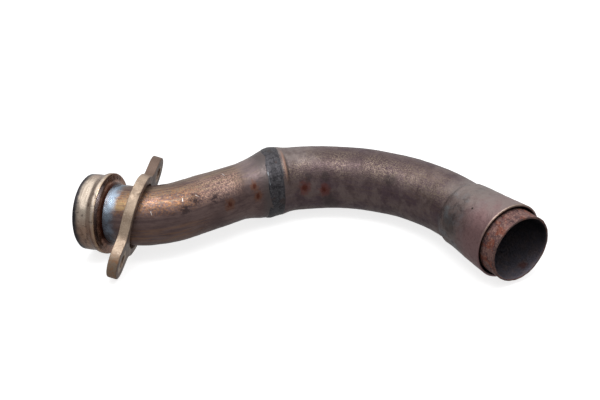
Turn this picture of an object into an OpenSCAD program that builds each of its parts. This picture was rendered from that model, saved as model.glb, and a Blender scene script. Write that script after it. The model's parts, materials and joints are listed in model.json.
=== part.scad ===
// Exhaust header pipe: an S-bend in one plane, lying flat, with a loose two-bolt flange at its inlet.
// Frame: origin at the centre of the inlet's gasket face, +X along the neck, +Z up.

/* [Tube] */
// Outer diameter of the front tube
front_od = 39.2; // [34:0.2:42]
// Wall of every tube
wall = 1.5; // [1:0.1:2]

/* [Inlet collar] */
// Outer diameter of the collar behind the gasket face
collar_od = 50.2; // [48:0.2:60]
// Length of the collar up to its ramp
collar_len = 9.8; // [5:0.2:12]
// Length of the ramp from the collar up to the lip
ramp_len = 2.6; // [1:0.2:5]
// Outer diameter of the lip that keeps the flange on
lip_od = 53.6; // [52:0.2:64]
// Thickness of the lip
lip_len = 3; // [2:0.5:5]
// Leg of the fillet weld between the lip and the neck
fillet_leg = 2.4; // [1:0.2:4]

/* [Flange] */
// Distance along the centreline from the gasket face to the middle of the flange
flange_x = 32.5; // [26:0.1:36]
// How far the flange tips on the tube, its upper edge away from the inlet
flange_tip = 14.8; // [0:0.2:16]
// Thickness of the flange plate
flange_t = 6.4; // [5:0.2:8]
// Radius of the round body of the flange
body_r = 27.4; // [27:0.1:36]
// Radius of the two bolt ears
ear_r = 11.6; // [8:0.1:13]
// Distance between the two bolt holes
bolt_pcd = 72; // [66:0.2:90]
// Diameter of the bolt holes
bolt_hole_d = 8.6; // [6.6:0.2:10.6]
// Gap all round between the flange and the tube, when it sits square on it
flange_gap = 2.6; // [2.4:0.1:3.6]

/* [Front tube] */
// Straight neck, from the gasket face to the first bend
neck_len = 27.8; // [26.4:0.2:36]
// Centreline radius of the first bend
bend_1_r = 42; // [36:1:60]
// Angle of the first bend, to the left
bend_1_angle = 49; // [30:1:60]
// Straight length between the first bend and the flare
mid_len = 46.8; // [20:0.2:90]
// Length of the flare out to the cup
flare_len = 20.6; // [12:0.2:30]

/* [Joint] */
// How far the mouth, and the cup welded to it, stand out all round beyond the rear tube
cup_rise = 2; // [1:0.1:5]
// Length of the cup, along the centreline, up to the weld
cup_len = 4.4; // [4.4:0.2:10]
// Angle turned back to the right at the mitred weld
mitre_angle = 18; // [0:1:20]
// Length of the rear tube's mouth, from the weld to its shoulder
mouth_len = 4.4; // [4.4:0.2:10]
// Length of the shoulder from the mouth down to the rear tube
shoulder_len = 2.6; // [2:0.2:20]
// Height of the weld bead
bead_h = 0.5; // [0.4:0.1:1.6]
// Width of the weld bead
bead_w = 5; // [4:0.5:8]

/* [Rear tube] */
// Outer diameter of the rear tube
rear_od = 43.6; // [40:0.2:44]
// Centreline radius of the second bend
bend_2_r = 99; // [70:1:140]
// Angle of the second bend, to the right
bend_2_angle = 81; // [60:1:100]

/* [Outlet] */
// Length of the step up to the widened end
step_len = 1.6; // [1:0.2:6]
// How far the widened end stands out all round beyond the rear tube, where it begins
swage_rise = 0.6; // [0.4:0.1:2]
// Length of the widened end, from its step to the rim
swage_len = 46; // [40:0.5:70]
// How far it widens further, all round, on its way to the rim
rim_rise = 2.1; // [1.9:0.1:4]
// Gap all round between the inner sleeve and the rim
rim_gap = 1.3; // [0.8:0.1:1.4]
// Length of the inner sleeve that stands out of the rim
sleeve_out = 11; // [6:0.5:20]

/* [Hidden] */
$fn = 96;
// Clearance between pieces that sit on each other
seat_gap = 0.05;
// The sleeve's stretch inside the widened end is turned down by this much
sleeve_relief = 0.2;
// Clearance under the neck where it lies in the loose flange
rest_gap = 0.3;
// Reach of the blocks that cut the two mitred ends
cut_size = 200;
// Where a straight stretch takes over a bend's end: how far it laps over, and how proud it stands
lap = 0.4;
lap_step = 0.03;

front_r = front_od / 2;
rear_r = rear_od / 2;
collar_r = collar_od / 2;
lip_r = lip_od / 2;
cup_r = rear_r + cup_rise;
swage_r = rear_r + swage_rise;
rim_r = swage_r + rim_rise;
lip_x = collar_len + ramp_len;

// Widening of the swaged end for each millimetre of its length
swage_slope = rim_rise / swage_len;
sleeve_r = rim_r - wall - rim_gap;
// The sleeve reaches in until the tapering wall closes on it
sleeve_in = (rim_gap + sleeve_relief - 2 * lap_step - seat_gap) / swage_slope;

// The centreline in plan: points where the stretches meet, and the heading of each stretch
function turned(a, v) = [cos(a) * v.x - sin(a) * v.y, sin(a) * v.x + cos(a) * v.y];
heading_2 = bend_1_angle - mitre_angle;
heading_3 = heading_2 - bend_2_angle;
mitre_heading = bend_1_angle - mitre_angle / 2;
bend_1_at = [neck_len, 0];
mid_at = bend_1_at + [bend_1_r * sin(bend_1_angle), bend_1_r * (1 - cos(bend_1_angle))];
joint_at = mid_at + turned(bend_1_angle, [mid_len + flare_len + cup_len, 0]);
bend_2_at = joint_at + turned(heading_2, [mouth_len + shoulder_len, 0]);
bend_2_chord = [bend_2_r * sin(bend_2_angle), -bend_2_r * (1 - cos(bend_2_angle))];
swage_at = bend_2_at + turned(heading_2, bend_2_chord);
rim_at = swage_at + turned(heading_3, [step_len + swage_len, 0]);
// The flange's place on the centreline, on the neck or in the first bend, and the tube's heading there
flange_heading = max(0, (flange_x - neck_len) / bend_1_r * 180 / PI);
flange_bend_at = bend_1_at + bend_1_r * [sin(flange_heading), 1 - cos(flange_heading)];
flange_at = flange_heading > 0 ? flange_bend_at : [flange_x, 0];
// How far the mitre cut reaches past the centreline at the cup's wall
mitre_reach = cup_r * tan(mitre_angle / 2) + 1;
// Bore of the weld ring, which clears both cups inside the mitre, out to the ring's edges
weld_r = (cup_r + lap_step) / cos(mitre_angle / 2) + bead_w / 2 * tan(mitre_angle / 2) + seat_gap;

// Room left above and below the tube, inside the tipped flange
bore_r = front_r + flange_gap;
flange_slack = bore_r * cos(flange_tip) - flange_t / 2 * sin(flange_tip) - front_r - rest_gap;
// Lying on a level floor, the pipe rests on its inlet end, its weld bead and its rim
flange_height = body_r * cos(flange_tip) + flange_t / 2 * sin(flange_tip) - flange_slack;
on_flange = flange_height > lip_r;
support_1 = on_flange ? flange_at : [lip_x + lip_len / 2, 0];
height_1 = max(lip_r, flange_height);
run_2 = joint_at - support_1;
run_3 = rim_at - support_1;
drop_2 = weld_r + bead_h - height_1;
drop_3 = rim_r - height_1;
det = run_2.x * run_3.y - run_3.x * run_2.y;
slope_x = (drop_2 * run_3.y - drop_3 * run_2.y) / det;
slope_y = (run_2.x * drop_3 - run_3.x * drop_2) / det;
pitch = -atan(slope_x);
roll = atan(slope_y);

// The loose flange lies on its flank: its round body and its lower ear both touch the floor
floor_up = [slope_x, slope_y, 1] / norm([slope_x, slope_y, 1]);
flange_flat = cos(flange_tip) * [cos(flange_heading), sin(flange_heading)];
flange_face = [flange_flat.x, flange_flat.y, -sin(flange_tip)];
flange_side = [-sin(flange_heading), cos(flange_heading), 0];
flange_up = cross(flange_face, flange_side);
flange_lean = 90 - asin((body_r - ear_r) / (bolt_pcd / 2));
flange_turned = atan2(floor_up * flange_side, floor_up * flange_up);
face_rise = floor_up * flange_face;
flange_rise = body_r * sqrt(1 - face_rise * face_rise) + flange_t / 2 * abs(face_rise);
flange_drop = height_1 + [slope_x, slope_y] * (flange_at - support_1);
flange_lift = flange_rise / floor_up.z - flange_drop;

// Turns the whole pipe to the attitude in which it lies
module as_it_lies() {
    rotate([roll, pitch, 0]) children();
}

// Moves a piece to a point of the centreline, along that point's heading
module along(point, heading) {
    translate([point.x, point.y, 0]) rotate([0, 0, heading]) children();
}

// A turned solid about X, from [x, radius] points
module turned_solid(points) {
    rotate([0, 90, 0]) rotate_extrude() polygon([for (p = points) [p.y, p.x]]);
}

// A straight tube with the given outer line, as [x, radius] points, its wall a lap step thicker each way
module straight_tube(outer) {
    skin = [for (p = outer) p + [0, lap_step]];
    bore = [for (i = [len(outer) - 1 : -1 : 0]) outer[i] - [0, wall + lap_step]];
    turned_solid(concat(skin, bore));
}

// A bent tube that starts at the origin along +X and turns left; a negative angle turns right
module bent_tube(centreline_r, angle, outer_r) {
    side = angle < 0 ? -1 : 1;
    translate([0, side * centreline_r, 0])
        rotate([0, 0, angle < 0 ? 90 + angle : -90])
            rotate_extrude(angle = abs(angle))
                translate([centreline_r, 0])
                    difference() {
                        circle(r = outer_r);
                        circle(r = outer_r - wall);
                    }
}

// The half-space before (side -1) or after (side 1) the mitre plane of the joint
module mitre_block(side) {
    along(joint_at, mitre_heading)
        translate([side < 0 ? -cut_size : 0, -cut_size / 2, -cut_size / 2])
            cube(cut_size);
}

// Turned collar with its lip and the fillet weld that holds it on the neck
module collar() {
    seat_r = front_r + seat_gap;
    face_x = lip_x + lip_len;
    color("#8d6b3f")
        as_it_lies()
            turned_solid([
                [0, seat_r],
                [0, collar_r],
                [collar_len, collar_r],
                [lip_x, lip_r],
                [face_x, lip_r],
                [face_x, seat_r + fillet_leg],
                [face_x + fillet_leg, seat_r]
            ]);
}

// Outline of the flange: a round body between two round-ended ears, along Y
module flange_outline() {
    circle(r = body_r);
    square([2 * ear_r, bolt_pcd], center = true);
    for (side = [-1, 1]) translate([0, side * bolt_pcd / 2]) circle(r = ear_r);
}

// Loose two-bolt flange, threaded over the tube, tipped on it and lying on its flank
module flange() {
    color("#b79d7c")
        as_it_lies()
            translate([flange_at.x, flange_at.y, flange_lift])
                rotate([0, 0, flange_heading])
                    rotate([0, flange_tip, 0])
                        rotate([-flange_lean - flange_turned, 0, 0])
                            rotate([0, 90, 0]) rotate([0, 0, 90])
                                translate([0, 0, -flange_t / 2])
                                    difference() {
                                        linear_extrude(flange_t) flange_outline();
                                        translate([0, 0, -1]) cylinder(r = bore_r, h = flange_t + 2);
                                        for (side = [-1, 1])
                                            translate([0, side * bolt_pcd / 2, -1])
                                                cylinder(d = bolt_hole_d, h = flange_t + 2);
                                    }
}

// Front tube: neck, first bend, straight, and the flare to the mitred cup
module front_pipe() {
    cup_x = mid_len + flare_len;
    color("#54434a")
        as_it_lies() {
            straight_tube([[0, front_r], [neck_len + lap, front_r]]);
            along(bend_1_at, 0) bent_tube(bend_1_r, bend_1_angle, front_r);
            difference() {
                along(mid_at, bend_1_angle)
                    straight_tube([
                        [-lap, front_r],
                        [mid_len, front_r],
                        [cup_x, cup_r],
                        [cup_x + cup_len + mitre_reach, cup_r]
                    ]);
                mitre_block(1);
            }
        }
}

// Weld bead, a ring round the mitred joint
module joint_weld() {
    half_w = bead_w / 2;
    crown_r = weld_r + bead_h;
    color("#3a3d44")
        as_it_lies()
            along(joint_at, mitre_heading)
                turned_solid([
                    [-half_w, weld_r],
                    [-half_w + bead_h, crown_r],
                    [half_w - bead_h, crown_r],
                    [half_w, weld_r]
                ]);
}

// Rear tube: mitred mouth, shoulder, second bend, and the widened end
module rear_pipe() {
    color("#62504b")
        as_it_lies() {
            difference() {
                along(joint_at, heading_2)
                    straight_tube([
                        [-mitre_reach, cup_r],
                        [mouth_len, cup_r],
                        [mouth_len + shoulder_len, rear_r],
                        [mouth_len + shoulder_len + lap, rear_r]
                    ]);
                mitre_block(-1);
            }
            along(bend_2_at, heading_2) bent_tube(bend_2_r, -bend_2_angle, rear_r);
            along(swage_at, heading_3)
                straight_tube([
                    [-lap, rear_r],
                    [0, rear_r],
                    [step_len, swage_r],
                    [step_len + swage_len, rim_r]
                ]);
        }
}

// Inner sleeve, pushed into the widened end until the taper holds it
module end_sleeve() {
    color("#7c4632")
        as_it_lies()
            along(rim_at, heading_3)
                difference() {
                    straight_tube([
                        [-sleeve_in, sleeve_r],
                        [sleeve_out, sleeve_r]
                    ]);
                    turned_solid([
                        [-sleeve_in - lap, sleeve_r - sleeve_relief],
                        [0, sleeve_r - sleeve_relief],
                        [0, rim_r],
                        [-sleeve_in - lap, rim_r]
                    ]);
                }
}

collar();
flange();
front_pipe();
joint_weld();
rear_pipe();
end_sleeve();
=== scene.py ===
"""Looks of the exhaust header pipe: two heat-tinted tubes, a collar, a loose flange and an inner sleeve.

Lengths are in metres. A place on a tube is (along, angle): metres along the centreline from the gasket
face, and degrees round the tube from its top, positive to the left as seen from the inlet. Named angles are
in degrees too, and the functions that shape the meshes work in radians.
"""

import json
import math

import bmesh
import bpy
import numpy as np
from mathutils import Matrix, Vector


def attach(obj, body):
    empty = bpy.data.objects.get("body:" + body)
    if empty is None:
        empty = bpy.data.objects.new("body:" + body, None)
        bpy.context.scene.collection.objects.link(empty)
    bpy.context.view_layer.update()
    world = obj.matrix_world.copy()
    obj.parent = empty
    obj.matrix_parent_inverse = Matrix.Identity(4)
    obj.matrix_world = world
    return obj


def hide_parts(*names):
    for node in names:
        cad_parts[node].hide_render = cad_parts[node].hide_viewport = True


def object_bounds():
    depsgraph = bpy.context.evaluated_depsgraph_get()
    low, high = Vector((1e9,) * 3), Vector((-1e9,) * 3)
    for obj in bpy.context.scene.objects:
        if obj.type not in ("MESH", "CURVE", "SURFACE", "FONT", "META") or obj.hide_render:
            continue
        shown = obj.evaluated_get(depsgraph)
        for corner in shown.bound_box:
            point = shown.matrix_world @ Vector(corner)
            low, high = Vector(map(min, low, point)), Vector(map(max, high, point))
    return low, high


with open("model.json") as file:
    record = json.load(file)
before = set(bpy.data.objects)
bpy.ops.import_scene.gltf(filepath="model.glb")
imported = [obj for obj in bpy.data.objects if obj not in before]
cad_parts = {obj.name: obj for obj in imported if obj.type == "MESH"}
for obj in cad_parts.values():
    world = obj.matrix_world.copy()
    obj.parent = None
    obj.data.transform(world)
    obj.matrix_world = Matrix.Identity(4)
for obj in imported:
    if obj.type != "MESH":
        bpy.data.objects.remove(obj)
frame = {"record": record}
CAD_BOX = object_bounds()
MOUNTS = {m["name"]: m for m in frame["record"]["mounts"]}

# Centreline: neck, bend to the left, straight to the mitred joint, bend to the right, outlet
NECK_LEN = 0.0278
BEND_1_R = 0.042
BEND_1_ANGLE = 49
STRAIGHT_LEN = 0.0718
MITRE_ANGLE = 18
SEAM_HEADING = 27
MOUTH_LEN = 0.007
BEND_2_R = 0.099
BEND_2_ANGLE = 81
OUTLET_LEN = 0.0476
SLEEVE_OUT = 0.011
SLEEVE_IN = 0.030
WALL = 0.0015

BEND_1_END = NECK_LEN + BEND_1_R * math.radians(BEND_1_ANGLE)
JOINT = BEND_1_END + STRAIGHT_LEN
BEND_2_START = JOINT + MOUTH_LEN
SWAGE = BEND_2_START + BEND_2_R * math.radians(BEND_2_ANGLE)
STEP_AT = SWAGE + 0.0055
RIM = SWAGE + OUTLET_LEN
SLEEVE_END = RIM + SLEEVE_OUT
# The front tube starts this far inside the collar's face
FRONT_START = 0.0006

# Near the joint the rings lean into the seam's plane: where that starts and ends, from the joint
FRONT_LEAN = (-0.055, -0.008)
REAR_LEAN = (0.005, 0.020)
# The rear tube's line is carried this far back before the joint
REAR_LEAD = 0.02

# Radii of the skin
NECK_R = 0.0195
MEAN_R = NECK_R * 1.1
JOINT_R = 0.02466
REAR_START_R = 0.02297
REAR_END_R = 0.02083
SWAGE_R = 0.0221
RIM_R = 0.02446
SLEEVE_R = MOUNTS["outlet_sleeve"]["dims"]["r_mm"] / 1000 - 0.0001
COLLAR_R = MOUNTS["inlet_collar"]["dims"]["r_mm"] / 1000
LIP_R = 0.0267
BEAD_AT = JOINT - 0.0016
BEAD_HALF = 0.0060

# Flange plate: FLANGE_EARS is how far its ears stand from its middle
FLANGE_JOINT = frame["record"]["behaviour"]["joints"][0]
FLANGE_EARS = MOUNTS["flange_bolts"]["dims"]["pcd_mm"] / 2000
FLANGE_THICK = 0.0064
FLANGE_BORE_R = 0.0222
FLANGE_BODY_R = 0.0273
FLANGE_EAR_R = 0.0115
FLANGE_SHOULDER = 0.004
FLANGE_BEVEL = 0.0007
NICK_AT = (-0.0015, 0.0272)
NICK_SIZE = 0.0011
NICK_DEPTH = 0.0010

# Mesh steps along and round the tubes, and round the flange
STEP = 0.0008
AROUND = 192
FLANGE_AROUND = 420

# Marks on the tubes. Rust spots and dark blotches: place and size
FRONT_RUST = (((0.0899, -79), 0.0038), ((0.1158, -60), 0.0032), ((0.1182, -80), 0.0036))
REAR_RUST = (((0.1562, -83), 0.0044), ((0.1738, -88), 0.0040))
FRONT_BLOTCHES = (((0.0662, -48), 0.0055), ((0.0590, -62), 0.0035), ((0.0790, -58), 0.0045))
REAR_BLOTCHES = (
    ((0.1794, -120), 0.010),
    ((0.2320, -56), 0.006),
    ((0.3000, -84), 0.008),
    ((0.1590, -64), 0.005),
    ((0.1750, -66), 0.005),
)
# Scratches: from one place to another
FRONT_SCRATCHES = (
    ((0.0672, -40), (0.0694, -47)),
    ((0.0588, -46), (0.0594, -39)),
    ((0.0936, -8), (0.0944, -17)),
    ((0.0432, -55), (0.0437, -63)),
)
# Small pits in the widened end, and its skin's radius there
REAR_PITS = ((0.2939, 17), (0.3114, -40))
REAR_PIT_SKIN_R = 0.0232
# Degrees round the tubes where the light glints, and where highlights are painted into the colour
GLINT = -36

# Distances along the front tube over which its blue heat tint ends, and its straw one
BLUE_END = (0.0255, 0.0315)
STRAW_END = (0.0330, 0.0400)

# Camera, in the row frame
CAMERA_AT = (0.22790, -0.38541, 0.22634)
CAMERA_FORWARD = (-0.19148, 0.86690, -0.46024)
CAMERA_RIGHT = (0.97801, 0.20799, -0.01513)
CAMERA_LENS = 43.46
SENSOR_WIDTH = 36

# Light: the room's ceiling, its walls, ground and back wall as shares of it, and the lamp over the pipe
CEILING_LIGHT = 1.0
WALL_LIGHT = 0.27
GROUND_LIGHT = 0.33
BACK_LIGHT = 0.62
OVERHEAD_WATTS = 2.6
OVERHEAD_FROM_MIDDLE = (0.02, -0.16, 0.75)
OVERHEAD_SIZE = (0.60, 0.24)
# Heights in the room where the light changes, from 0 straight down to 1 straight up
GROUND_TOP = 0.30
WALLS = (0.48, 0.76)
CEILING_EDGE = 0.86
# The back wall's light grows between these, where 0 is beside the pipe and 1 straight behind it
BACK_WALL = (0.3, 0.85)

# Stage: the floor's half width, the far wall's radius, sides and height, and how much each glows
FLOOR_HALF = 12.0
FLOOR_GLOW = 0.78
FAR_WALL_R = 11.5
FAR_WALL_SIDES = 48
FAR_WALL_HIGH = 6.0
FAR_WALL_GLOW = 0.86
PALE = (0.45, 0.45, 0.45, 1)
WHITE = (1, 1, 1, 1)


# ---------------- the centreline

def row_axes():
    """The pipe's own axes in the row frame: along the neck, to the left, and up."""
    neck = -Vector(MOUNTS["inlet_collar"]["axis"])
    outlet = Vector(MOUNTS["outlet_sleeve"]["axis"])
    up = outlet.cross(neck).normalized()
    return np.array([neck, up.cross(neck), up])


AXES = row_axes()


def arc(start, heading, radius, turn):
    """Point and heading after a plane arc; a positive turn is to the left."""
    side = math.copysign(1, turn)
    centre = start + side * radius * np.array([-math.sin(heading), math.cos(heading)])
    end = heading + turn
    return centre - side * radius * np.array([-math.sin(end), math.cos(end)]), end


def run(start, heading, length):
    """Point after a straight stretch."""
    return start + length * np.array([math.cos(heading), math.sin(heading)])


def centreline():
    """The stretches of the centreline: (start along, plan point, heading, curvature)."""
    stretches = [(0.0, np.zeros(2), 0.0, 0.0)]
    point = run(np.zeros(2), 0.0, NECK_LEN)
    stretches.append((NECK_LEN, point, 0.0, 1 / BEND_1_R))
    point, heading = arc(point, 0.0, BEND_1_R, math.radians(BEND_1_ANGLE))
    stretches.append((BEND_1_END, point, heading, 0.0))
    point = run(point, heading, STRAIGHT_LEN)
    heading -= math.radians(MITRE_ANGLE)
    stretches.append((JOINT, point, heading, 0.0))
    point = run(point, heading, MOUTH_LEN)
    stretches.append((BEND_2_START, point, heading, -1 / BEND_2_R))
    point, heading = arc(point, heading, BEND_2_R, -math.radians(BEND_2_ANGLE))
    stretches.append((SWAGE, point, heading, 0.0))
    return stretches


STRETCHES = centreline()


def along_path(along, before_joint):
    """Plan points and headings at these distances, on the front tube's line or the rear tube's."""
    along = np.asarray(along, float)
    x, y, heading = np.zeros_like(along), np.zeros_like(along), np.zeros_like(along)
    for start, point, first, bend in STRETCHES:
        if before_joint and start >= JOINT:
            continue
        here = along >= start if start > 0 else np.ones(along.shape, bool)
        if not before_joint and start == JOINT:
            here = along >= start - REAR_LEAD
        d = along[here] - start
        turn = bend * d
        if bend:
            x[here] = point[0] + (np.sin(first + turn) - math.sin(first)) / bend
            y[here] = point[1] - (np.cos(first + turn) - math.cos(first)) / bend
        else:
            x[here] = point[0] + d * math.cos(first)
            y[here] = point[1] + d * math.sin(first)
        heading[here] = first + turn
    return x, y, heading


def smooth(value, start, end):
    """0 before start, 1 after end, and a smooth step between them."""
    t = np.clip((np.asarray(value, float) - start) / (end - start), 0, 1)
    return t * t * (3 - 2 * t)


def placed(along, radius, angle, before_joint):
    """Row-frame points of the skin. Near the joint the rings turn into the seam's plane."""
    x, y, heading = along_path(along, before_joint)
    side, up = radius * np.sin(angle), radius * np.cos(angle)
    if before_joint:
        share = smooth(along, JOINT + FRONT_LEAN[0], JOINT + FRONT_LEAN[1])
        heading = heading - share * math.radians(BEND_1_ANGLE - SEAM_HEADING)
    else:
        share = 1 - smooth(along, JOINT + REAR_LEAN[0], JOINT + REAR_LEAN[1])
        heading = heading - share * math.radians(BEND_1_ANGLE - MITRE_ANGLE - SEAM_HEADING)
    px = x - side * np.sin(heading)
    py = y + side * np.cos(heading)
    return np.stack([px, py, up], -1) @ AXES


# ---------------- meshes

def waves(along, angle, size, seed):
    """A smooth uneven field of about -1 to 1 over a tube's skin, with lumps of about this size."""
    count = 9
    rng = np.random.default_rng(seed)
    total = np.zeros(np.broadcast(along, angle).shape)
    for _ in range(count):
        pitch = size * rng.uniform(0.7, 1.8)
        turns = rng.integers(0, max(2, int(0.13 / size)))
        total += np.cos(2 * math.pi * (along / pitch + rng.random()) + turns * angle)
    return total / math.sqrt(count * 2)


def turn_from(angle, degrees):
    """Signed turn in radians from a stated angle, the short way round."""
    return (angle - math.radians(degrees) + math.pi) % (2 * math.pi) - math.pi


def bell(value, middle, spread):
    """1 at the middle, fading to 0 on both sides of it."""
    return np.exp(-(((value - middle) / spread) ** 2))


def dent(along, angle, at, size, depth):
    """Depth of a round dent at a place on a tube."""
    return depth * bell(np.hypot(along - at[0], MEAN_R * turn_from(angle, at[1])), 0, size)


def closed_quads(rows, around):
    """Faces of a grid of points that closes on itself both ways."""
    row, col = np.meshgrid(np.arange(rows), np.arange(around), indexing="ij")
    here, following = row * around, (row + 1) % rows * around
    beside = (col + 1) % around
    return np.stack([here + col, here + beside, following + beside, following + col], -1).reshape(-1, 4)


def turned_mesh(name, profile, place, relief, around=AROUND):
    """A closed turned skin from a loop of (along, radius, inside); place turns skin into points."""
    loop = np.array(profile, float)
    angle = np.linspace(0, 2 * math.pi, around, endpoint=False)
    along = np.repeat(loop[:, :1], around, 1)
    radius = np.repeat(loop[:, 1:2], around, 1)
    inside = np.repeat(loop[:, 2:3], around, 1)
    turn = np.repeat(angle[None, :], len(loop), 0)
    radius = radius + relief(along, turn) * (1 - inside)
    points = place(along, radius, turn)
    flat = np.stack([along, radius * np.sin(turn), radius * np.cos(turn)], -1)
    quads = closed_quads(len(loop), around)
    return made_mesh(name, points.reshape(-1, 3), quads, flat.reshape(-1, 3), inside.ravel())


def made_mesh(name, points, quads, flat, inside):
    """An object from points and quads, which keeps their places on the straightened tube for its paint."""
    mesh = bpy.data.meshes.new(name)
    mesh.from_pydata(points.tolist(), [], quads.tolist())
    skin = mesh.attributes.new("skin", "FLOAT_VECTOR", "POINT")
    skin.data.foreach_set("vector", flat.astype(np.float32).ravel())
    inner = mesh.attributes.new("inside", "FLOAT", "POINT")
    inner.data.foreach_set("value", inside.astype(np.float32))
    mesh.polygons.foreach_set("use_smooth", np.ones(len(mesh.polygons), bool))
    mesh.validate()
    mesh.update()
    piece = bpy.data.objects.new(name, mesh)
    bpy.context.scene.collection.objects.link(piece)
    return piece


def spaced(start, end, step):
    """Distances from start to end, about a step apart."""
    return np.linspace(start, end, max(2, int(round(abs(end - start) / step)) + 1))


def wall_loop(start, end, outer_r, step=STEP, edge=0.0004):
    """A closed profile of a tube wall from start to end, its two edges chamfered."""
    coarse = step * 4
    half_inside = 0.6
    outer = [(s, outer_r(s), 0) for s in spaced(start + edge, end - edge, step)]
    inner = [(s, outer_r(s) - WALL, 1) for s in spaced(end - edge, start + edge, coarse)]
    end_edge = [(end, outer_r(end) - edge, 0), (end, outer_r(end) - WALL + edge, half_inside)]
    start_edge = [(start, outer_r(start) - WALL + edge, half_inside), (start, outer_r(start) - edge, 0)]
    return outer + end_edge + inner + start_edge


def finished(piece, node, body, material):
    """Gives a piece its material and its body, and hides the CAD node that it stands for."""
    piece.data.materials.append(material)
    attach(piece, body)
    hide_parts(node)
    return piece


# ---------------- pieces

def flare_share(along):
    """Share of the front tube's flare that is reached: it starts softly and eases into the even cup."""
    flare_start, flare_len = JOINT - 0.028, 0.024
    t = float(np.clip((along - flare_start) / flare_len, 0, 1))
    return t ** 1.35 * (1 + 0.35 * (1 - t) * t)


def front_radius(along):
    """Skin radius of the front tube: even, then flared out to the joint."""
    return float(NECK_R + (JOINT_R - NECK_R) * flare_share(along))


def rear_radius(along):
    """Skin radius of the rear tube: mouth, shoulder, long taper, step, and the widened end."""
    profile = [
        (JOINT, JOINT_R),
        (JOINT + 0.0052, JOINT_R - 0.0001),
        (JOINT + 0.0108, 0.0234),
        (JOINT + 0.0148, REAR_START_R),
        (STEP_AT, REAR_END_R),
        (STEP_AT + 0.0022, SWAGE_R),
        (RIM, RIM_R),
    ]
    return float(np.interp(along, *zip(*profile)))


def front_relief(along, angle):
    """Small unevenness of the front tube's skin."""
    uneven = 0.00012 * waves(along, angle, 0.02, 3) + 0.00004 * waves(along, angle, 0.006, 4)
    scrape = dent(along, angle, (0.0675, -48), 0.0035, 0.0004)
    flat_spot = dent(along, angle, (0.088, -30), 0.009, 0.0002)
    return uneven - scrape - flat_spot


def rear_relief(along, angle):
    """Small unevenness of the rear tube's skin, with the marks of its bending and widening."""
    uneven = 0.00014 * waves(along, angle, 0.03, 7) + 0.00004 * waves(along, angle, 0.007, 8)
    ripple = 0.00025 * bell(along, STEP_AT + 0.001, 0.004) * np.cos(3 * angle + 0.8)
    hollow = dent(along, angle, (SWAGE + 0.016, -118), 0.010, 0.0005)
    near_rim = smooth(along, RIM - 0.02, RIM)
    oval = 0.0002 * near_rim * np.cos(2 * angle - 0.6)
    facing = bell(turn_from(angle, -32), 0, 0.6)
    ridge = 0.0004 * bell(along, JOINT + 0.0068, 0.0012)
    groove = 0.00035 * bell(along, JOINT + 0.0090, 0.0009)
    return uneven + ripple + oval - hollow + (ridge - groove) * facing


def make_front_pipe(material):
    """Front tube, from the inlet to the mitred joint."""
    profile = wall_loop(FRONT_START, JOINT, front_radius)
    piece = turned_mesh("front_tube", profile, lambda s, r, a: placed(s, r, a, True), front_relief)
    return finished(piece, "front_pipe", "pipe", material)


def make_rear_pipe(material):
    """Rear tube, from the mitred joint to the rim."""
    profile = wall_loop(JOINT, RIM, rear_radius)
    piece = turned_mesh("rear_tube", profile, lambda s, r, a: placed(s, r, a, False), rear_relief)
    return finished(piece, "rear_pipe", "pipe", material)


def bead_ripple(along, angle):
    """The scaly ripple that a hand-laid bead has."""
    scales = np.abs(np.sin(38 * angle + 0.8 * np.sin(5 * angle)))
    wander = 0.0001 * waves(along, angle, 0.01, 21)
    crown = 1 - ((along - BEAD_AT) / BEAD_HALF) ** 2
    return 0.00008 * scales * np.clip(crown, 0, 1) + wander


def bead_place(along, radius, angle):
    """Points of the bead: its front part lies on the front tube and the rest on the rear one."""
    wander = along + 0.0003 * np.sin(3 * angle + 1)
    front = placed(wander, radius, angle, True)
    return np.where((along < JOINT)[..., None], front, placed(wander, radius, angle, False))


def make_joint_weld(material):
    """Wide, low weld bead round the joint."""
    sunk, crown, root = 0.0001, 0.00027, 0.0009
    across = np.linspace(-1, 1, 25)
    places = [(t, BEAD_AT + BEAD_HALF * t) for t in across]
    skin = [front_radius(s) if s < JOINT else rear_radius(s) for _, s in places]
    top = [(s, r - sunk + crown * (1 - t * t) ** 0.5, 0) for (t, s), r in zip(places, skin)]
    under = [(s, r - root, 1) for (_, s), r in zip(places[::-4], skin[::-4])]
    piece = turned_mesh("weld_bead", top + under, bead_place, bead_ripple, around=380)
    return finished(piece, "joint_weld", "pipe", material)


def rounded(corners):
    """A closed (along, radius) outline of (along, radius, rounding) corners, each rounded."""
    loop = []
    count, steps, most = len(corners), 4, 0.45
    for i, (*corner, rounding) in enumerate(corners):
        here = np.array(corner)
        back = np.array(corners[i - 1][:2]) - here
        ahead = np.array(corners[(i + 1) % count][:2]) - here
        reach = min(rounding, np.linalg.norm(back) * most, np.linalg.norm(ahead) * most)
        first = here + back / np.linalg.norm(back) * reach
        last = here + ahead / np.linalg.norm(ahead) * reach
        for t in np.linspace(0, 1, steps):
            loop.append((1 - t) ** 2 * first + 2 * t * (1 - t) * here + t * t * last)
    return loop


def refined(loop, step):
    """The outline with points no more than a step apart."""
    points = []
    for i, point in enumerate(loop):
        following = loop[(i + 1) % len(loop)]
        parts = max(1, int(np.linalg.norm(following - point) / step))
        points += [point + (following - point) * k / parts for k in range(parts)]
    return points


def collar_relief(along, angle):
    """Wear and small knocks on the collar."""
    uneven = 0.00006 * waves(along, angle, 0.008, 31)
    knock = dent(along, angle, (0.0105, 2), 0.0016, 0.0003)
    return uneven - knock


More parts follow.
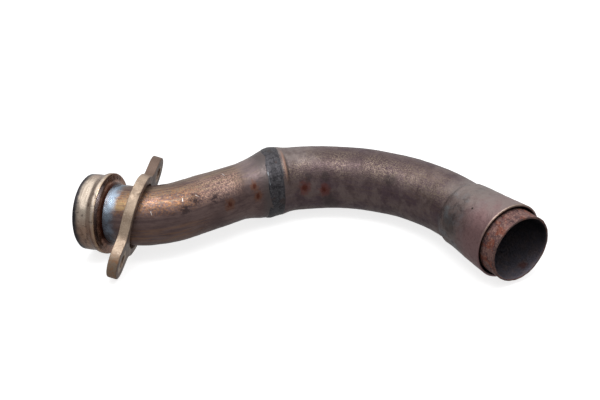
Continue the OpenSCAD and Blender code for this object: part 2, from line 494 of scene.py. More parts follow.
def make_collar(material):
    """Turned collar with its ramp, thin lip and fillet weld."""
    bore = NECK_R + 0.00005
    corners = [
        (0, bore, 0.0002),
        (0, COLLAR_R, 0.0009),
        (0.0098, COLLAR_R, 0.0012),
        (0.0126, LIP_R, 0.0012),
        (0.0156, LIP_R, 0.0005),
        (0.0157, NECK_R + 0.0026, 0.0012),
        (0.0181, bore, 0.0003),
    ]
    outline = refined(rounded(corners), 0.0006)
    bore_top, weld_toe = NECK_R + 0.0003, 0.017
    profile = [(s, r, 1.0 if r < bore_top and s < weld_toe else 0.0) for s, r in outline]
    piece = turned_mesh("collar_ring", profile, lambda s, r, a: placed(s, r, a, True), collar_relief)
    piece.data.set_sharp_from_angle(angle=math.radians(50))
    return finished(piece, "collar", "pipe", material)


def sleeve_relief(along, angle):
    """Uneven, rust-eaten skin of the inner sleeve."""
    return 0.00008 * waves(along, angle, 0.004, 41) + 0.00008 * waves(along, angle, 0.012, 42)


def sleeve_place(along, radius, angle):
    """Points of the sleeve, whose end is cut a little unevenly."""
    at_end = smooth(along, SLEEVE_END - 0.004, SLEEVE_END)
    ragged = 0.00018 * np.sin(2 * angle + 1) + 0.00010 * np.sin(5 * angle) + 0.00005 * np.sin(13 * angle)
    return placed(along + at_end * (ragged - 0.0001), radius, angle, False)


def make_end_sleeve(material):
    """Inner sleeve, held in the taper of the widened end."""
    profile = wall_loop(RIM - SLEEVE_IN, SLEEVE_END, lambda s: SLEEVE_R, step=0.0005, edge=0.0003)
    piece = turned_mesh("inner_sleeve", profile, sleeve_place, sleeve_relief)
    return finished(piece, "end_sleeve", "pipe", material)


def flange_reach(angle):
    """Radius of the flange's outline at an angle from the line of its ears, with filleted shoulders."""
    c, s = np.abs(np.cos(angle)), np.abs(np.sin(angle))
    low = np.full(angle.shape, FLANGE_BODY_R * 0.8)
    high = np.full(angle.shape, FLANGE_EARS + FLANGE_EAR_R + 0.002)
    for _ in range(40):
        mid = (low + high) / 2
        body = mid - FLANGE_BODY_R
        ear = np.hypot(np.maximum(mid * c - FLANGE_EARS, 0), mid * s) - FLANGE_EAR_R
        share = np.clip(0.5 + 0.5 * (body - ear) / FLANGE_SHOULDER, 0, 1)
        edge = body * (1 - share) + ear * share - FLANGE_SHOULDER * share * (1 - share)
        low, high = np.where(edge < 0, mid, low), np.where(edge < 0, high, mid)
    return (low + high) / 2


def flange_profile():
    """Closed loop across the plate: (share from bore to outline, height, inset from the outline)."""
    half, bevel = FLANGE_THICK / 2, FLANGE_BEVEL
    face = [0, 0.12, 0.3, 0.5, 0.7, 0.85, 1]
    corner = [(math.sin(t), 1 - math.cos(t)) for t in np.linspace(0, math.pi / 2, 5)]
    loop = [(share, half, bevel * (share > 0.99)) for share in face]
    loop += [(1, half - bevel * drop, bevel * (1 - out)) for out, drop in corner[1:]]
    loop += [(1, h, 0) for h in np.linspace(half - bevel, bevel - half, 12)[1:]]
    loop += [(1, bevel * drop - half, bevel * (1 - out)) for out, drop in corner[::-1][1:]]
    loop += [(share, -half, 0) for share in face[::-1][1:]]
    loop += [(0, h, 0) for h in np.linspace(-half, half, 7)[1:-1]]
    return loop


def flange_points():
    """Points of the flange plate in its own frame: ears along X, plate across Z."""
    angle = np.linspace(0, 2 * math.pi, FLANGE_AROUND, endpoint=False)
    outline = flange_reach(angle)
    rows = []
    for share, height, inset in flange_profile():
        reach = FLANGE_BORE_R + (outline - inset - FLANGE_BORE_R) * share
        wobble = share * 0.00012 * (np.sin(7 * angle + 1) + np.sin(11 * angle + 2 + height * 300))
        x = (reach + wobble) * np.cos(angle)
        y = (reach + wobble) * np.sin(angle)
        rows.append(np.stack([x, y, np.full(FLANGE_AROUND, height)], -1))
    return np.array(rows)


def nicked(points):
    """The plate's points, with a small nick pushed in at its edge."""
    away = np.linalg.norm(points - np.array([*NICK_AT, FLANGE_THICK / 2]), axis=-1, keepdims=True)
    flat = points * np.array([1, 1, 0.3])
    inward = -flat / np.linalg.norm(flat, axis=-1, keepdims=True)
    return points + inward * NICK_DEPTH * bell(away, 0, NICK_SIZE)


def hole_cutter(x, radius):
    """A turned plug with flared ends that cuts a lightly chamfered hole at x on the line of the ears."""
    half, chamfer, clear = FLANGE_THICK / 2, 0.0004, 0.0002
    upper = [(half - chamfer, radius), (half + clear, radius + chamfer), (2 * half, radius + chamfer)]
    profile = [(-z, r) for z, r in upper[::-1]] + upper
    sides = 48
    turn = np.linspace(0, 2 * math.pi, sides, endpoint=False)
    points = [(x + r * math.cos(t), r * math.sin(t), z) for z, r in profile for t in turn]
    faces = []
    for ring in range(0, len(points) - sides, sides):
        for i in range(sides):
            beside = (i + 1) % sides
            faces.append([ring + i, ring + beside, ring + sides + beside, ring + sides + i])
    faces.append(list(range(sides))[::-1])
    faces.append(list(range(len(points) - sides, len(points))))
    mesh = bpy.data.meshes.new("cutter")
    mesh.from_pydata(points, [], faces)
    cutter = bpy.data.objects.new("cutter", mesh)
    bpy.context.scene.collection.objects.link(cutter)
    return cutter


def weld_slivers(mesh):
    """Joins points that a cut left all but on top of each other."""
    closest = 0.00002
    work = bmesh.new()
    work.from_mesh(mesh)
    bmesh.ops.remove_doubles(work, verts=work.verts, dist=closest)
    bmesh.ops.dissolve_degenerate(work, edges=work.edges, dist=closest / 2)
    work.to_mesh(mesh)
    work.free()


def cut_out(piece, cutters):
    """Cuts the cutters' shapes out of a piece and removes them."""
    for cutter in cutters:
        modifier = piece.modifiers.new("hole", "BOOLEAN")
        modifier.operation = "DIFFERENCE"
        modifier.solver = "EXACT"
        modifier.object = cutter
    graph = bpy.context.evaluated_depsgraph_get()
    mesh = bpy.data.meshes.new_from_object(piece.evaluated_get(graph))
    weld_slivers(mesh)
    piece.modifiers.clear()
    piece.data = mesh
    for cutter in cutters:
        bpy.data.objects.remove(cutter)


def flange_frame():
    """The flange's own frame in the row frame: its ears' line, its plate's line across, and its axis."""
    axis = Vector(FLANGE_JOINT["axis"]).normalized()
    uphill = (Vector((0, 0, 1)) - axis * axis.z).normalized()
    lean = math.acos((FLANGE_BODY_R - FLANGE_EAR_R) / FLANGE_EARS)
    line = uphill * math.cos(lean) + uphill.cross(axis) * math.sin(lean)
    turn = Matrix((line, axis.cross(line), axis)).transposed()
    return Matrix.Translation(FLANGE_JOINT["pos_m"]) @ turn.to_4x4()


def make_flange(material):
    """Loose two-bolt flange, lying on its flank round the neck."""
    rows = nicked(flange_points())
    quads = closed_quads(*rows.shape[:2])
    points = rows.reshape(-1, 3)
    piece = made_mesh("flange_plate", points, quads, points, np.zeros(len(points)))
    radius = MOUNTS["flange_bolts"]["dims"]["hole_r_mm"] / 1000
    cut_out(piece, [hole_cutter(side * FLANGE_EARS, radius) for side in (-1, 1)])
    piece.data.set_sharp_from_angle(angle=math.radians(40))
    piece.data.transform(flange_frame())
    return finished(piece, "flange", "flange", material)


# ---------------- materials

def tone(code):
    """A linear colour from a hexadecimal sRGB code."""
    channels = [int(code[i:i + 2], 16) / 255 for i in (0, 2, 4)]
    return tuple(c / 12.92 if c <= 0.04045 else ((c + 0.055) / 1.055) ** 2.4 for c in channels) + (1.0,)


class Paint:
    """A node material. Most methods add nodes and return a socket; a colour is a code or a socket."""

    def __init__(self, name):
        self.material = bpy.data.materials.new(name)
        self.material.use_nodes = True
        self.nodes = self.material.node_tree.nodes
        self.shader = self.nodes["Principled BSDF"]
        self.skin = self.read("skin")
        self.inside = self.read("inside", "Fac")
        self.along = self.split(self.skin, "X")

    def give(self, socket, value):
        """Links or sets an input; a text is a colour code."""
        if isinstance(value, bpy.types.NodeSocket):
            self.material.node_tree.links.new(value, socket)
        else:
            socket.default_value = tone(value) if isinstance(value, str) else value

    def read(self, name, output="Vector"):
        """A value kept with each point of the mesh."""
        node = self.nodes.new("ShaderNodeAttribute")
        node.attribute_name = name
        return node.outputs[output]

    def split(self, vector, axis):
        """One coordinate of a vector."""
        node = self.nodes.new("ShaderNodeSeparateXYZ")
        self.give(node.inputs[0], vector)
        return node.outputs[axis]

    def number(self, operation, first, second=0.0):
        """The result of an operation on one or two numbers."""
        node = self.nodes.new("ShaderNodeMath")
        node.operation = operation
        self.give(node.inputs[0], first)
        self.give(node.inputs[1], second)
        return node.outputs[0]

    def vector(self, operation, first, second=(0, 0, 0)):
        """The result of an operation on one or two vectors."""
        node = self.nodes.new("ShaderNodeVectorMath")
        node.operation = operation
        self.give(node.inputs[0], first)
        self.give(node.inputs[1], second)
        return node.outputs["Value" if operation in ("DOT_PRODUCT", "DISTANCE") else "Vector"]

    def noise(self, size, detail=3.0, rough=0.55, stretch=(1, 1, 1), shift=0.0):
        """Cloudy noise with lumps of about this size, in metres on the straightened skin."""
        node = self.nodes.new("ShaderNodeTexNoise")
        moved = self.vector("MULTIPLY", self.skin, stretch)
        moved = self.vector("ADD", moved, (shift, shift * 0.7, shift * 1.3))
        self.give(node.inputs["Vector"], moved)
        node.inputs["Scale"].default_value = 1 / size
        node.inputs["Detail"].default_value = detail
        node.inputs["Roughness"].default_value = rough
        return node.outputs["Fac"]

    def fade(self, value, start, end, low=0.0, high=1.0):
        """low below start, high above end, and smooth between them."""
        node = self.nodes.new("ShaderNodeMapRange")
        node.interpolation_type = "SMOOTHSTEP"
        self.give(node.inputs["Value"], value)
        for name, number in zip(("From Min", "From Max", "To Min", "To Max"), (start, end, low, high)):
            node.inputs[name].default_value = number
        return node.outputs["Result"]

    def until(self, value, start, end):
        """1 below start, 0 above end, and smooth between them."""
        return self.fade(value, start, end, 1.0, 0.0)

    def clouds(self, size, low, high, detail=4.0, **noise):
        """Soft patches of about this size: 1 where the noise is above high, 0 where it is below low."""
        return self.fade(self.noise(size, detail, **noise), low, high)

    def uneven(self, low, high, size=0.003, detail=4.0, rough=0.55):
        """A number that wanders between low and high over the skin."""
        return self.fade(self.noise(size, detail, rough), 0.3, 0.7, low, high)

    def both(self, first, second):
        """The product of two numbers: 1 where both masks are."""
        return self.number("MULTIPLY", first, second)

    def ragged(self, size, reach, detail=3.0, shift=0.0):
        """Distance along the tube, unevenly pushed on by up to this reach, for ragged borders."""
        return self.number("ADD", self.along, self.both(self.noise(size, detail, shift=shift), reach))

    def band(self, start, end):
        """1 on the stretch of tube from start to end, each a pair of distances to fade over."""
        return self.both(self.fade(self.along, *start), self.until(self.along, *end))

    def outer_edge(self, start, end):
        """1 on the outer skin beyond a border that fades in from start to end."""
        return self.both(self.fade(self.along, start, end), self.until(self.inside, 0.2, 0.5))

    def mix(self, share, first, second):
        """The first colour, or the second where share is 1."""
        node = self.nodes.new("ShaderNodeMix")
        node.data_type = "RGBA"
        self.give(node.inputs["Factor"], share)
        self.give(node.inputs[6], first)
        self.give(node.inputs[7], second)
        return node.outputs[2]

    def wash(self, color, mask, share, tint):
        """The colour with this share of a tint laid over it where the mask is 1."""
        return self.mix(self.both(mask, share), color, tint)

    def blend(self, share, first, second):
        """Mixes two numbers."""
        node = self.nodes.new("ShaderNodeMix")
        self.give(node.inputs["Factor"], share)
        self.give(node.inputs[2], first)
        self.give(node.inputs[3], second)
        return node.outputs[0]

    def place(self, at, radius):
        """Where (along, angle) is on a straightened skin of this radius."""
        turn = math.radians(at[1])
        return (at[0], radius * math.sin(turn), radius * math.cos(turn))

    def spot(self, at, radius, size, ragged=0.5):
        """1 within a ragged spot at a place on the skin, 0 outside it."""
        away = self.vector("DISTANCE", self.skin, self.place(at, radius))
        uneven = self.both(self.noise(size * 0.6, 2.0, shift=at[0] * 50), ragged * size * 2)
        away = self.number("ADD", away, uneven)
        return self.until(away, size * (0.4 + ragged), size * (1.1 + ragged))

    def line(self, start, end, radius, width):
        """1 on a thin scratch between two places on the skin."""
        a, b = Vector(self.place(start, radius)), Vector(self.place(end, radius))
        half = (b - a).length / 2
        off = self.vector("SUBTRACT", self.skin, (a + b) / 2)
        run_on = self.vector("DOT_PRODUCT", off, (b - a).normalized())
        square = self.number("SUBTRACT", self.vector("DOT_PRODUCT", off, off), self.both(run_on, run_on))
        away = self.number("SQRT", self.number("MAXIMUM", square, 0.0))
        wander = self.both(self.noise(0.002, 1.0, shift=start[0] * 90), width)
        near = self.until(self.number("ADD", away, wander), width * 0.6, width * 1.5)
        within = self.until(self.number("ABSOLUTE", run_on), half * 0.75, half * 1.1)
        return self.both(near, within)

    def round_mask(self, angle, spread):
        """1 on the strip of skin at this angle round the tube, fading out over this spread."""
        turn = math.radians(angle)
        facing = self.vector("NORMALIZE", self.vector("MULTIPLY", self.skin, (0, 1, 1)))
        facing = self.vector("DOT_PRODUCT", facing, (0, math.sin(turn), math.cos(turn)))
        return self.fade(facing, math.cos(math.radians(spread)), 1.0)

    def bump(self, height, depth, under=None):
        """Surface relief of this depth in metres."""
        node = self.nodes.new("ShaderNodeBump")
        node.inputs["Distance"].default_value = depth
        node.inputs["Strength"].default_value = 1.0
        self.give(node.inputs["Height"], height)
        if under is not None:
            self.give(node.inputs["Normal"], under)
        return node.outputs["Normal"]

    def coat(self, color, rough, metal, normal):
        """Sets the surface and returns the material."""
        self.give(self.shader.inputs["Base Color"], color)
        self.give(self.shader.inputs["Roughness"], rough)
        self.give(self.shader.inputs["Metallic"], metal)
        self.give(self.shader.inputs["Normal"], normal)
        self.shader.inputs["Specular IOR Level"].default_value = 0.4
        return self.material

    def soot_and_painted_light(self, color):
        """Darkens the inner skin to soot and old rust, with a paler bottom painted as light coming in."""
        soot = self.mix(self.clouds(0.006, 0.45, 0.65), "201f24", "2e292d")
        painted_lit_bottom = self.mix(self.clouds(0.004, 0.42, 0.62, shift=2.0), "64606a", "6e6468")
        # Painted light: the bottom of the bore is paler, as if lit through the opening
        soot = self.mix(self.round_mask(165, 105), soot, painted_lit_bottom)
        return self.mix(self.fade(self.inside, 0.3, 0.9), color, soot)


def grain(p, fine, coarse):
    """Fine pitted skin over soft unevenness, as a surface relief."""
    normal = p.bump(p.noise(0.0011, 4.0, 0.7), fine)
    return p.bump(p.noise(0.006, 3.0), coarse, normal)


def flecks(p, size, low, high, shift=0.0):
    """Speckle of small bright flecks."""
    return p.clouds(size, low, high, 3.0, rough=0.75, shift=shift)


def streaks(p, width, low, high, shift=0.0):
    """Thin marks drawn out along the tube."""
    return p.clouds(width, low, high, 3.0, rough=0.6, stretch=(0.07, 1, 1), shift=shift)


def rust_spots(p, color, spots, radius, tint, share):
    """Soft, ragged rust spots with a darker heart."""
    for at, size in spots:
        color = p.wash(color, p.spot(at, radius, size * 1.5, 0.8), share * 0.6, tint)
        color = p.wash(color, p.spot(at, radius, size * 0.7, 0.6), share, "5e2c20")
    return color


def collar_bronze_and_glint(p):
    """Golden brown turned steel, blotched and finely ringed, with a painted highlight at the glint."""
    body = p.mix(p.clouds(0.007, 0.38, 0.62, stretch=(1, 0.6, 0.6)), "95796b", "b99984")
    # Painted highlight: pale cream where the light glints
    painted_glint = p.round_mask(GLINT, 54)
    body = p.mix(painted_glint, body, "f8e6d4")
    # Pale flecks, most of them within the painted highlight
    flecks_and_painted_glint = p.both(flecks(p, 0.0015, 0.48, 0.62), p.number("ADD", p.both(painted_glint, 0.7), 0.1))
    body = p.mix(flecks_and_painted_glint, body, "f4e4d0")
    body = p.wash(body, p.clouds(0.004, 0.55, 0.62, 5.0, rough=0.7, shift=3.1), 0.6, "4c3a3a")
    rings = p.clouds(0.0012, 0.52, 0.66, 2.0, rough=0.5, stretch=(1, 0.06, 0.06), shift=6.0)
    return p.wash(body, rings, 0.35, "6a4c3c")


def collar_paint():
    """Collar: bronze with a dark ramp and front edge, a grey seat and a brown back."""
    p = Paint("bronze_tinted_collar")
    body = p.wash(collar_bronze_and_glint(p), p.band((0.0085, 0.0105), (0.0125, 0.0140)), 0.55, "7a5644")
    body = p.mix(p.until(p.ragged(0.004, 0.003, shift=1.7), 0.0028, 0.0066), body, "444246")
    seat = p.mix(p.clouds(0.003, 0.42, 0.6, rough=0.65, shift=12.0), "544e4a", "766a60")
    body = p.mix(p.fade(p.along, 0.0004, 0.0010, 0.9, 0.0), body, seat)
    back = p.mix(p.clouds(0.004, 0.42, 0.6, 3.0), "7c5c4e", "a07866")
    body = p.mix(p.fade(p.along, 0.0150, 0.0158), body, back)
    lit_edge = p.both(p.band((0.0143, 0.0148), (0.0152, 0.0157)), flecks(p, 0.003, 0.35, 0.6, 9.0))
    body = p.wash(body, lit_edge, 0.55, "c8aa84")
    body = p.mix(p.fade(p.along, 0.0162, 0.0172), body, "4c2a20")
    return p.coat(p.soot_and_painted_light(body), p.uneven(0.17, 0.30), 0.9, grain(p, 0.00008, 0.0003))


def flange_film(p):
    """Thin tan film on the plate, browner towards one ear and rusty at the tip of the other."""
    body = p.mix(p.clouds(0.010, 0.4, 0.62), "a8927f", "c4ad97")
    body = p.wash(body, flecks(p, 0.0012, 0.5, 0.66, 2.0), 0.45, "e2cfba")
    body = p.wash(body, flecks(p, 0.0009, 0.54, 0.66, 7.0), 0.5, "7d6756")
    body = p.wash(body, p.fade(p.along, 0.008, 0.030), 0.95, "705b50")
    rusty = p.mix(p.clouds(0.0022, 0.46, 0.6, rough=0.7, shift=3.0), "84705f", "8e5f3c")
    return p.wash(body, p.fade(p.both(p.along, -1.0), 0.036, 0.043), 0.8, rusty)


def flange_paint():
    """Flange: satin tan edge, and faces painted darker as shade, with dark blotches. Its skin is the
    plate's own frame.
    """
    p = Paint("satin_tan_flange")
    half = FLANGE_THICK / 2
    on_face = p.fade(p.number("ABSOLUTE", p.split(p.skin, "Z")), half - 0.0004, half)
    # Painted shade: the plate's faces darker than its edge, with dark blotches
    face_shade_and_blotches = p.mix(p.clouds(0.005, 0.4, 0.6), "5e4c46", "826b5e")
    face_shade_and_blotches = p.wash(face_shade_and_blotches, p.clouds(0.004, 0.54, 0.64, shift=5.0), 0.6, "3c302e")
    body = p.wash(flange_film(p), on_face, 0.85, face_shade_and_blotches)
    return p.coat(body, p.uneven(0.40, 0.56, 0.004), 0.35, grain(p, 0.00008, 0.0002))


def front_oxide_and_painted_light(p):
    """Purple brown oxide with streaks; golden and dark flecks painted as a highlight where the light
    glints, and streaks painted as a sheen low on the tube.
    """
    body = p.mix(p.clouds(0.012, 0.4, 0.62, 5.0, rough=0.65, stretch=(0.5, 1, 1)), "705c5a", "8a7470")
    body = p.wash(body, streaks(p, 0.0018, 0.46, 0.66, 2.0), 0.45, "574548")
    body = p.wash(body, p.both(streaks(p, 0.0013, 0.38, 0.68), p.round_mask(-4, 58)), 0.75, "ac967c")
    # Painted highlight: golden flecks and dark speckle where the light glints
    painted_glint = p.both(p.round_mask(GLINT, 36), p.until(p.along, 0.098, 0.112))
    gold = p.mix(p.fade(p.along, 0.055, 0.085), "b48052", "dab2a0")
    body = p.wash(body, p.both(flecks(p, 0.0010, 0.46, 0.58), painted_glint), 0.7, gold)
    body = p.wash(body, p.both(flecks(p, 0.0012, 0.52, 0.60, 13.0), painted_glint), 0.6, "5c4548")
    # Painted sheen: golden brown streaks on a strip low down the tube
    painted_low_sheen = p.both(p.round_mask(-112, 34), p.until(p.along, 0.055, 0.085))
    return p.wash(body, p.both(streaks(p, 0.0010, 0.46, 0.6, 5.0), painted_low_sheen), 0.45, "a87e5c")


def heat_tint_and_painted_light(p, body, warm):
    """Steel blue on the neck with a painted highlight and painted shade, and a little straw beyond it,
    painted only where the light glints as a highlight; warm is a ragged distance along.
    """
    steel = p.mix(p.clouds(0.004, 0.4, 0.6), "66707c", "94a4b6")
    # Painted highlight on the blue neck where the light glints
    steel = p.wash(steel, p.round_mask(GLINT, 40), 0.85, "cce0f6")
    # Painted shade: the blue neck darker low down
    steel = p.wash(steel, p.round_mask(-100, 46), 0.45, "584e52")
    # Straw-coloured streaks only where the light glints: a painted highlight
    straw = p.mix(p.both(p.round_mask(-38, 24), streaks(p, 0.0012, 0.44, 0.58, 3.0)), body, "b4966e")
    return p.mix(p.fade(warm, *BLUE_END), steel, p.mix(p.fade(warm, *STRAW_END), straw, body))


def front_ends(p, color):
    """Towards the joint: paler grey on top as painted light, darker where the light glints as painted
    shade, and charred; and a dark edge at the inlet.
    """
    # Painted light: paler grey on top towards the joint
    color = p.wash(color, p.both(p.round_mask(8, 50), p.fade(p.along, 0.102, 0.114)), 0.6, "a8989a")
    # Painted shade: darker where the light glints towards the joint
    color = p.wash(color, p.both(p.round_mask(-38, 40), p.fade(p.along, 0.100, 0.114)), 0.7, "62585a")
    charred = p.number("ADD", p.ragged(0.005, 0.006, shift=15.0), p.both(p.round_mask(30, 90), 0.005))
    color = p.mix(p.fade(charred, BEAD_AT - 0.0105, BEAD_AT - 0.003, 0.0, 0.85), color, "68605f")
    return p.mix(p.fade(p.along, 0.0008, 0.0018, 0.8, 0.0), color, "3a3436")


def front_marks(p, color):
    """Rust spots, dark blotches and bright scratches."""
    color = rust_spots(p, color, FRONT_RUST, NECK_R * 1.05, "84502e", 0.8)
    for at, size in FRONT_BLOTCHES:
        dark = p.both(p.spot(at, NECK_R, size), p.clouds(0.003, 0.44, 0.54, rough=0.65, shift=5.0))
        color = p.wash(color, dark, 0.75, "33292e")
    for start, end in FRONT_SCRATCHES:
        color = p.mix(p.line(start, end, NECK_R, 0.00034), color, "f4ece6")
    return color


def front_paint():
    """Front tube: heat-tinted neck, then streaked oxide, charred at the joint, with painted highlights and
    painted shade.
    """
    p = Paint("heat_tinted_front_tube")
    warm = p.ragged(0.006, 0.008, shift=9.0)
    color = heat_tint_and_painted_light(p, front_oxide_and_painted_light(p), warm)
    # Painted shade: a little darker underneath
    color = p.wash(color, p.round_mask(180, 100), 0.2, "54464a")
    color = front_marks(p, front_ends(p, color))
    beyond_neck = p.fade(warm, 0.0265, 0.0335)
    rough = p.blend(beyond_neck, p.uneven(0.16, 0.28), p.uneven(0.30, 0.54, 0.0024, 5.0, 0.7))
    return p.coat(p.soot_and_painted_light(color), rough, 0.85, grain(p, 0.00014, 0.0003))


def weld_paint():
    """Weld bead: dark grey with rusty patches, and thin bright lines at its front edge."""
    p = Paint("dark_weld_bead")
    body = p.mix(p.clouds(0.003, 0.4, 0.62, 5.0, rough=0.65), "3c3a3e", "5a585c")
    body = p.wash(body, flecks(p, 0.0011, 0.52, 0.64), 0.5, "78767a")
    body = p.wash(body, p.clouds(0.007, 0.56, 0.68, shift=6.0), 0.35, "55392c")
    edge = BEAD_AT - BEAD_HALF + 0.0008
    for low, high in ((-28, -42), (-40, -70)):
        body = p.mix(p.line((edge, low), (edge + 0.0006, high), JOINT_R, 0.00028), body, "c9cfd6")
    return p.coat(p.soot_and_painted_light(body), p.uneven(0.36, 0.56, detail=3.0), 0.7, grain(p, 0.00012, 0.0003))


def rear_oxide_and_painted_light(p):
    """Taupe brown oxide, with painted shade where the light glints near the joint, and olive gold flecks
    painted as a highlight where the light glints.
    """
    body = p.mix(p.clouds(0.016, 0.4, 0.62, 5.0, rough=0.65), "66545a", "837270")
    body = p.wash(body, p.clouds(0.007, 0.48, 0.66, 5.0, rough=0.65, shift=2.0), 0.55, "574648")
    body = p.wash(body, streaks(p, 0.0014, 0.5, 0.62, 4.0), 0.35, "7e6a60")
    # Painted shade: darker where the light glints, near the joint
    body = p.wash(body, p.both(p.round_mask(-38, 40), p.until(p.along, 0.210, 0.255)), 0.8, "504244")
    # Painted highlight: flecks where the light glints, stronger in some places than others
    glow = p.fade(p.noise(0.024, 3.0, shift=21.0), 0.38, 0.56, 0.25, 1.0)
    painted_glint = p.both(p.round_mask(GLINT, 40), glow)
    body = p.wash(body, p.both(flecks(p, 0.0010, 0.46, 0.58, 7.0), painted_glint), 0.6, "9c8c7a")
    return p.wash(body, p.both(flecks(p, 0.0012, 0.54, 0.62, 17.0), painted_glint), 0.5, "544448")


def widened_end(p, body):
    """Patchy grey skin from the step on, which turns reddish before the rim."""
    wide = p.ragged(0.008, 0.010, 4.0, shift=9.0)
    patch = p.mix(p.clouds(0.010, 0.42, 0.66, 5.0, rough=0.6, shift=11.0), "82726f", "7f8388")
    patch = p.wash(patch, flecks(p, 0.0012, 0.5, 0.64, 27.0), 0.35, "9a9088")
    patch = p.wash(patch, p.clouds(0.005, 0.53, 0.62, 5.0, rough=0.65, shift=31.0), 0.6, "5a4e4e")
    reddish = p.wash("9a7b7b", flecks(p, 0.0016, 0.5, 0.64, 33.0), 0.5, "7a5c5e")
    end = p.mix(p.fade(wide, STEP_AT + 0.018, STEP_AT + 0.038), patch, reddish)
    return p.mix(p.fade(wide, STEP_AT + 0.0005, STEP_AT + 0.012), body, end)


def painted_top_light_and_under_shade(p, body):
    """Painted light: paler on top near both ends of the tube; and painted shade: a little darker
    underneath.
    """
    top = p.both(p.round_mask(2, 52), p.fade(p.noise(0.006, 4.0, shift=41.0), 0.35, 0.6, 0.3, 0.8))
    near_joint = p.fade(p.along, 0.156, 0.178, 0.9, 0.0)
    near_rim = p.fade(p.along, 0.270, 0.288, 0.0, 0.85)
    body = p.mix(p.both(top, p.number("ADD", near_joint, near_rim)), body, "a09490")
    return p.wash(body, p.round_mask(180, 105), 0.15, "54484a")


def rear_joint_end(p, color):
    """Dark charring up to the ridge beside the weld, and a painted highlight on the ridge where the light
    glints.
    """
    charred = p.fade(p.ragged(0.004, 0.002), JOINT + 0.0048, JOINT + 0.0062, 0.9, 0.0)
    color = p.mix(charred, color, "484a4f")
    ridge = p.band((JOINT + 0.0056, JOINT + 0.0064), (JOINT + 0.0074, JOINT + 0.0082))
    # Painted highlight on the ridge
    return p.wash(color, p.both(ridge, p.round_mask(-34, 38)), 0.7, "b08c7c")


def rear_marks_and_rim_glint(p, color):
    """Rust spots, dark blotches, pits, and a painted highlight on the upper side of the rim's edge."""
    color = rust_spots(p, color, REAR_RUST, REAR_START_R, "844436", 0.8)
    for at, size in REAR_BLOTCHES:
        color = p.wash(color, p.spot(at, REAR_END_R, size), 0.5, "463f3d")
    for at in REAR_PITS:
        color = p.mix(p.spot(at, REAR_PIT_SKIN_R, 0.0010, 0.2), color, "2a2624")
    # Painted highlight: pale on the rim's outer edge, on its upper side
    rim = p.outer_edge(RIM - 0.0009, RIM - 0.0003)
    return p.wash(color, p.both(rim, p.round_mask(-8, 80)), 0.8, "b8a494")


def rear_paint():
    """Rear tube: matt oxide, charred at the joint and patchy on the widened end, with painted highlights
    and painted shade.
    """
    p = Paint("matt_oxide_rear_tube")
    body = painted_top_light_and_under_shade(p, widened_end(p, rear_oxide_and_painted_light(p)))
    color = rear_marks_and_rim_glint(p, rear_joint_end(p, body))
    rough = p.uneven(0.36, 0.56, 0.0026, 5.0, 0.7)
    return p.coat(p.soot_and_painted_light(color), rough, 0.85, grain(p, 0.00014, 0.0003))


def sleeve_paint():
    """Inner sleeve: mottled red brown rust, with painted shade where it comes out of the rim."""
    p = Paint("rusted_inner_sleeve")
    body = p.mix(p.clouds(0.005, 0.4, 0.6, 5.0, rough=0.65), "5a4044", "8a6660")
    body = p.wash(body, p.clouds(0.006, 0.52, 0.60, shift=3.0), 0.8, "8c4c38")
    body = p.wash(body, flecks(p, 0.0011, 0.5, 0.62, 5.0), 0.6, "b08e80")
    body = p.wash(body, p.clouds(0.0022, 0.54, 0.62, 5.0, rough=0.7, shift=8.0), 0.6, "3a2b2e")
    body = p.wash(body, p.outer_edge(SLEEVE_END - 0.0006, SLEEVE_END - 0.0002), 0.5, "6a5650")
    # Painted shade: dark where the sleeve comes out of the rim
    body = p.mix(p.fade(p.along, RIM - 0.002, RIM + 0.002, 0.8, 0.0), body, "241b1a")
    stain = p.spot((SLEEVE_END - 0.006, 150), SLEEVE_R, 0.004)
    color = p.wash(p.soot_and_painted_light(body), stain, 0.7, "5a3026")
    return p.coat(color, p.uneven(0.5, 0.72), 0.45, grain(p, 0.00018, 0.0004))


# ---------------- stage

def staged(name, points, faces, paint):
    """A floor or backdrop mesh, which the pipe neither mirrors nor takes light from."""
    mesh = bpy.data.meshes.new(name)
    mesh.from_pydata(points, [], faces)
    mesh.materials.append(paint)
    piece = bpy.data.objects.new(name, mesh)
    bpy.context.scene.collection.objects.link(piece)
    piece.visible_glossy = False
    piece.visible_diffuse = False
    return piece


def pale_paint(name, glow):
    """A matt pale grey that glows a little, so that it reads as white."""
    paint = bpy.data.materials.new(name)
    paint.use_nodes = True
    shader = paint.node_tree.nodes["Principled BSDF"]
    shader.inputs["Base Color"].default_value = PALE
    shader.inputs["Roughness"].default_value = 0.9
    shader.inputs["Specular IOR Level"].default_value = 0.0
    shader.inputs["Emission Color"].default_value = WHITE
    shader.inputs["Emission Strength"].default_value = glow
    return paint


def make_floor():
    """Plain pale floor at the height the pipe lies on, and a far pale wall round it."""
    level = CAD_BOX[0].z
    corners = [(x * FLOOR_HALF, y * FLOOR_HALF, level) for x, y in ((-1, -1), (1, -1), (1, 1), (-1, 1))]
    staged("floor", corners, [(0, 1, 2, 3)], pale_paint("pale_floor", FLOOR_GLOW))
    sides = FAR_WALL_SIDES
    turns = np.linspace(0, 2 * math.pi, sides, endpoint=False)
    circle = [(FAR_WALL_R * math.cos(t), FAR_WALL_R * math.sin(t)) for t in turns]
    rings = [(x, y, z) for z in (level, level + FAR_WALL_HIGH) for x, y in circle]
    faces = [(i, (i + 1) % sides, sides + (i + 1) % sides, sides + i) for i in range(sides)]
    wall = staged("backdrop", rings, faces, pale_paint("pale_wall", FAR_WALL_GLOW))
    wall.visible_shadow = False


def area_light(name, at, toward, size, watts):
    """A white rectangular light that faces a point."""
    data = bpy.data.lights.new(name, "AREA")
    data.shape = "RECTANGLE"
    data.size, data.size_y = size
    data.energy = watts
    light = bpy.data.objects.new(name, data)
    light.location = at
    light.rotation_mode = "QUATERNION"
    light.rotation_quaternion = (Vector(toward) - Vector(at)).to_track_quat("-Z", "Y")
    bpy.context.scene.collection.objects.link(light)


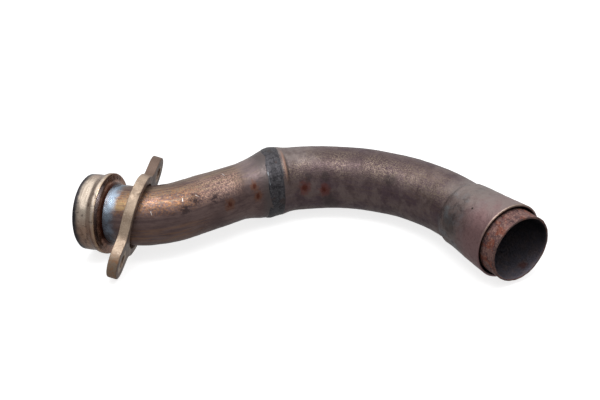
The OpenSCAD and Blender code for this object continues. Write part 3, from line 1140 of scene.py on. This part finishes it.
def studio_world():
    """A bright ceiling over dimmer walls and ground, and a brighter wall behind the pipe."""
    world = bpy.data.worlds.new("studio")
    world.use_nodes = True
    nodes, links = world.node_tree.nodes, world.node_tree.links
    direction = nodes.new("ShaderNodeSeparateXYZ")
    ramp = nodes.new("ShaderNodeValToRGB")
    height = nodes.new("ShaderNodeMapRange")
    height.inputs["From Min"].default_value = -1
    behind = nodes.new("ShaderNodeMapRange")
    behind.inputs["From Min"].default_value = BACK_WALL[0]
    behind.inputs["From Max"].default_value = BACK_WALL[1]
    behind.inputs["To Max"].default_value = BACK_LIGHT
    brighter = nodes.new("ShaderNodeMath")
    brighter.operation = "MAXIMUM"
    links.new(nodes.new("ShaderNodeTexCoord").outputs["Generated"], direction.inputs[0])
    links.new(direction.outputs["Z"], height.inputs["Value"])
    links.new(height.outputs["Result"], ramp.inputs["Fac"])
    links.new(direction.outputs["Y"], behind.inputs["Value"])
    links.new(ramp.outputs["Color"], brighter.inputs[0])
    links.new(behind.outputs["Result"], brighter.inputs[1])
    links.new(brighter.outputs[0], nodes["Background"].inputs["Color"])
    nodes["Background"].inputs["Strength"].default_value = CEILING_LIGHT
    shade_room(ramp.color_ramp.elements)
    return world


def shade_room(stops):
    """Sets the light of the ground, the walls and the ceiling by their heights in the room."""
    ground, ceiling = stops[0], stops[1]
    ground.position, ground.color = GROUND_TOP, (GROUND_LIGHT,) * 3 + (1,)
    ceiling.position, ceiling.color = CEILING_EDGE, WHITE
    for height in WALLS:
        stops.new(height).color = (WALL_LIGHT,) * 3 + (1,)


def make_lights():
    """Soft overhead light, a little towards the viewer, in an even room."""
    middle = (CAD_BOX[0] + CAD_BOX[1]) / 2
    over = middle + Vector(OVERHEAD_FROM_MIDDLE)
    area_light("overhead", over, middle, OVERHEAD_SIZE, OVERHEAD_WATTS)
    bpy.context.scene.world = studio_world()
    view = bpy.context.scene.view_settings
    view.view_transform = "Standard"
    view.look = "None"


def make_camera():
    """Camera in front of the pipe and above it, rolled by a touch."""
    data = bpy.data.cameras.new("camera")
    data.lens = CAMERA_LENS
    data.sensor_width = SENSOR_WIDTH
    camera = bpy.data.objects.new("camera", data)
    back = -Vector(CAMERA_FORWARD).normalized()
    right = Vector(CAMERA_RIGHT).normalized()
    up = back.cross(right)
    camera.matrix_world = Matrix.Translation(CAMERA_AT) @ Matrix((right, up, back)).transposed().to_4x4()
    bpy.context.scene.collection.objects.link(camera)
    bpy.context.scene.camera = camera


make_camera()
make_lights()
make_floor()
make_collar(collar_paint())
make_flange(flange_paint())
make_front_pipe(front_paint())
make_joint_weld(weld_paint())
make_rear_pipe(rear_paint())
make_end_sleeve(sleeve_paint())
